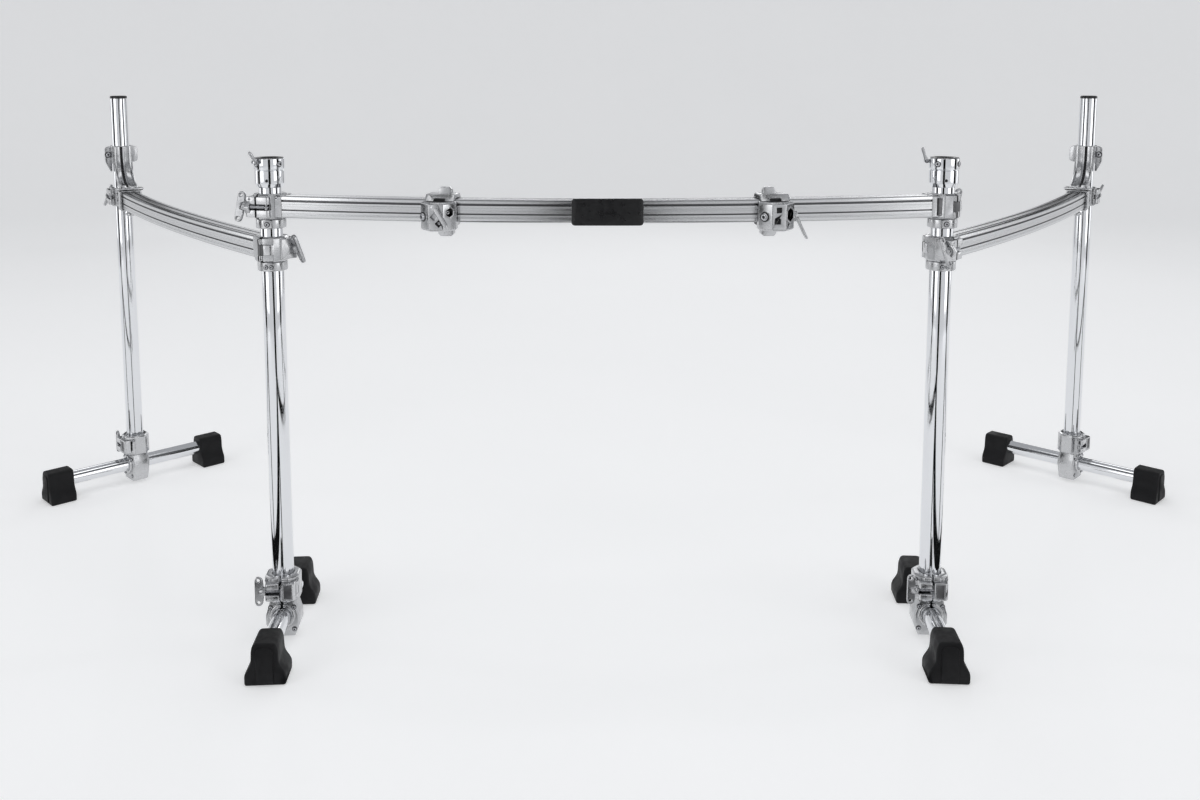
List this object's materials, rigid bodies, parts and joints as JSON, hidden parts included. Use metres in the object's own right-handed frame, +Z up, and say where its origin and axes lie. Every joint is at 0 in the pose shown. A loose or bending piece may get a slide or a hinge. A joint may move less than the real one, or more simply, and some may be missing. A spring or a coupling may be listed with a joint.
{
  "type": "drum rack frame",
  "caption": "Curved three-sided drum rack frame: grooved rails clamped to round posts that stand on swivelling T-feet with rubber ends.",
  "frame": {"origin": "on the floor, at the middle of the rack's bounding box in plan", "axes": "+X to the right along the front rail as the picture shows it, +Y from the front rail back towards the ends of the wings, +Z up"},
  "size_m": [2.662, 1.1272, 0.948],
  "materials": {
    "chrome": "polished chrome plate on steel tube",
    "satin_aluminium": "satin anodised extruded aluminium with lengthwise grooves",
    "cast_metal": "bright die-cast metal with a satin chrome finish",
    "black_rubber": "matt black moulded rubber",
    "black_plastic": "black moulded plastic"
  },
  "bodies": {
    "front_frame": {"front_rail": "satin_aluminium", "badge_plate": "black_plastic", "front_left_rail_clamp": "cast_metal", "front_left_rail_clamp_jaw": "cast_metal", "front_right_rail_clamp": "cast_metal", "front_right_rail_clamp_jaw": "cast_metal", "front_left_post": "chrome", "front_left_rail_lock": "cast_metal", "front_left_wing_lock": "cast_metal", "front_left_cup": "chrome", "front_right_post": "chrome", "front_right_rail_lock": "cast_metal", "front_right_wing_lock": "cast_metal", "front_right_cup": "chrome"},
    "left_wing": {"left_wing_rail": "satin_aluminium", "left_wing_front_clamp": "cast_metal", "left_wing_front_clamp_jaw": "cast_metal", "left_wing_rear_clamp": "cast_metal", "left_arm": "cast_metal"},
    "rear_left_leg": {"rear_left_post": "chrome", "rear_left_cap": "black_plastic"},
    "front_left_foot": {"front_left_t_clamp": "cast_metal", "front_left_foot_tube": "chrome", "front_left_near_rubber": "black_rubber", "front_left_far_rubber": "black_rubber"},
    "front_left_t_wing_bolt": {"front_left_t_wing_bolt": "cast_metal"},
    "rear_left_foot": {"rear_left_t_clamp": "cast_metal", "rear_left_foot_tube": "chrome", "rear_left_near_rubber": "black_rubber", "rear_left_far_rubber": "black_rubber"},
    "rear_left_t_wing_bolt": {"rear_left_t_wing_bolt": "cast_metal"},
    "front_left_rail_wing_bolt": {"front_left_rail_wing_bolt": "cast_metal"},
    "left_wing_front_wing_bolt": {"left_wing_front_wing_bolt": "cast_metal"},
    "left_wing_rear_wing_bolt": {"left_wing_rear_wing_bolt": "cast_metal"},
    "front_left_cup_lever": {"front_left_cup_lever": "cast_metal"},
    "left_accessory": {"left_accessory_clamp": "cast_metal"},
    "left_accessory_lever": {"left_accessory_lever": "cast_metal"},
    "right_wing": {"right_wing_rail": "satin_aluminium", "right_wing_front_clamp": "cast_metal", "right_wing_front_clamp_jaw": "cast_metal", "right_wing_rear_clamp": "cast_metal", "right_arm": "cast_metal"},
    "rear_right_leg": {"rear_right_post": "chrome", "rear_right_cap": "black_plastic"},
    "front_right_foot": {"front_right_t_clamp": "cast_metal", "front_right_foot_tube": "chrome", "front_right_near_rubber": "black_rubber", "front_right_far_rubber": "black_rubber"},
    "front_right_t_wing_bolt": {"front_right_t_wing_bolt": "cast_metal"},
    "rear_right_foot": {"rear_right_t_clamp": "cast_metal", "rear_right_foot_tube": "chrome", "rear_right_near_rubber": "black_rubber", "rear_right_far_rubber": "black_rubber"},
    "rear_right_t_wing_bolt": {"rear_right_t_wing_bolt": "cast_metal"},
    "front_right_rail_wing_bolt": {"front_right_rail_wing_bolt": "cast_metal"},
    "right_wing_front_wing_bolt": {"right_wing_front_wing_bolt": "cast_metal"},
    "right_wing_rear_wing_bolt": {"right_wing_rear_wing_bolt": "cast_metal"},
    "front_right_cup_lever": {"front_right_cup_lever": "cast_metal"},
    "right_accessory": {"right_accessory_clamp": "cast_metal"},
    "right_accessory_lever": {"right_accessory_lever": "cast_metal"}
  },
  "joints": [
    {"name": "left_wing_swing", "type": "hinge", "parent": "front_frame", "child": "left_wing", "pos_m": [-0.58, -0.38943, 0.708], "axis": [0, 0, 1], "range_deg": [-50, 45]},
    {"name": "rear_left_leg_height", "type": "slide", "parent": "left_wing", "child": "rear_left_leg", "axis": [0, 0, 1], "range_m": [0, 0.25]},
    {"name": "front_left_foot_swivel", "type": "hinge", "parent": "front_frame", "child": "front_left_foot", "pos_m": [-0.58, -0.38943, 0.097], "axis": [0, 0, 1], "continuous": true},
    {"name": "front_left_t_wing_bolt_turn", "type": "hinge", "parent": "front_left_foot", "child": "front_left_t_wing_bolt", "pos_m": [-0.60411, -0.41873, 0.097], "axis": [-0.9976, -0.0698, 0], "continuous": true},
    {"name": "rear_left_foot_swivel", "type": "hinge", "parent": "rear_left_leg", "child": "rear_left_foot", "pos_m": [-1.155, 0.39057, 0.097], "axis": [0, 0, 1], "continuous": true},
    {"name": "rear_left_t_wing_bolt_turn", "type": "hinge", "parent": "rear_left_foot", "child": "rear_left_t_wing_bolt", "pos_m": [-1.19295, 0.39021, 0.097], "axis": [-0.6947, 0.7193, 0], "continuous": true},
    {"name": "front_left_rail_wing_bolt_turn", "type": "hinge", "parent": "front_frame", "child": "front_left_rail_wing_bolt", "pos_m": [-0.61599, -0.40897, 0.782], "axis": [-0.9712, 0.2381, 0], "continuous": true},
    {"name": "left_wing_front_wing_bolt_turn", "type": "hinge", "parent": "left_wing", "child": "left_wing_front_wing_bolt", "pos_m": [-0.53925, -0.39347, 0.708], "axis": [0.6699, -0.7425, 0], "continuous": true},
    {"name": "left_wing_rear_wing_bolt_turn", "type": "hinge", "parent": "left_wing", "child": "left_wing_rear_wing_bolt", "pos_m": [-1.19417, 0.40253, 0.708], "axis": [-0.5111, 0.8595, 0], "continuous": true},
    {"name": "front_left_cup_lever_swing", "type": "hinge", "parent": "front_frame", "child": "front_left_cup_lever", "pos_m": [-0.59439, -0.41649, 0.858], "axis": [-0.8829, 0.4695, 0], "range_deg": [-70, 30]},
    {"name": "left_accessory_travel", "type": "hinge", "parent": "front_frame", "child": "left_accessory", "pos_m": [0, 1.84657, 0.782], "axis": [0, 0, 1], "range_deg": [-5.6, 4.4]},
    {"name": "left_accessory_lever_turn", "type": "hinge", "parent": "left_accessory", "child": "left_accessory_lever", "pos_m": [-0.2822, -0.49695, 0.79084], "axis": [0.119, 0.9929, 0], "continuous": true},
    {"name": "right_wing_swing", "type": "hinge", "parent": "front_frame", "child": "right_wing", "pos_m": [0.58, -0.38943, 0.708], "axis": [0, 0, 1], "range_deg": [-45, 50]},
    {"name": "rear_right_leg_height", "type": "slide", "parent": "right_wing", "child": "rear_right_leg", "axis": [0, 0, 1], "range_m": [0, 0.25]},
    {"name": "front_right_foot_swivel", "type": "hinge", "parent": "front_frame", "child": "front_right_foot", "pos_m": [0.58, -0.38943, 0.097], "axis": [0, 0, 1], "continuous": true},
    {"name": "front_right_t_wing_bolt_turn", "type": "hinge", "parent": "front_right_foot", "child": "front_right_t_wing_bolt", "pos_m": [0.55204, -0.41509, 0.097], "axis": [-0.9976, 0.0698, 0], "continuous": true},
    {"name": "rear_right_foot_swivel", "type": "hinge", "parent": "rear_right_leg", "child": "rear_right_foot", "pos_m": [1.155, 0.39057, 0.097], "axis": [0, 0, 1], "continuous": true},
    {"name": "rear_right_t_wing_bolt_turn", "type": "hinge", "parent": "rear_right_foot", "child": "rear_right_t_wing_bolt", "pos_m": [1.15669, 0.35266, 0.097], "axis": [-0.6947, -0.7193, 0], "continuous": true},
    {"name": "front_right_rail_wing_bolt_turn", "type": "hinge", "parent": "front_frame", "child": "front_right_rail_wing_bolt", "pos_m": [0.60287, -0.35546, 0.782], "axis": [0.9712, 0.2381, 0], "continuous": true},
    {"name": "right_wing_front_wing_bolt_turn", "type": "hinge", "parent": "right_wing", "child": "right_wing_front_wing_bolt", "pos_m": [0.58016, -0.43038, 0.708], "axis": [-0.6699, -0.7425, 0], "continuous": true},
    {"name": "right_wing_rear_wing_bolt_turn", "type": "hinge", "parent": "right_wing", "child": "right_wing_rear_wing_bolt", "pos_m": [1.19417, 0.40253, 0.708], "axis": [0.5111, 0.8595, 0], "continuous": true},
    {"name": "front_right_cup_lever_swing", "type": "hinge", "parent": "front_frame", "child": "front_right_cup_lever", "pos_m": [0.54935, -0.38943, 0.858], "axis": [0, 1, 0], "range_deg": [-90, 8]},
    {"name": "right_accessory_travel", "type": "hinge", "parent": "front_frame", "child": "right_accessory", "pos_m": [0, 1.84657, 0.782], "axis": [0, 0, 1], "range_deg": [-4.4, 5.6]},
    {"name": "right_accessory_lever_turn", "type": "hinge", "parent": "right_accessory", "child": "right_accessory_lever", "pos_m": [0.30835, -0.47065, 0.77596], "axis": [-0.9929, -0.119, 0], "range_deg": [-5, 165]}
  ]
}
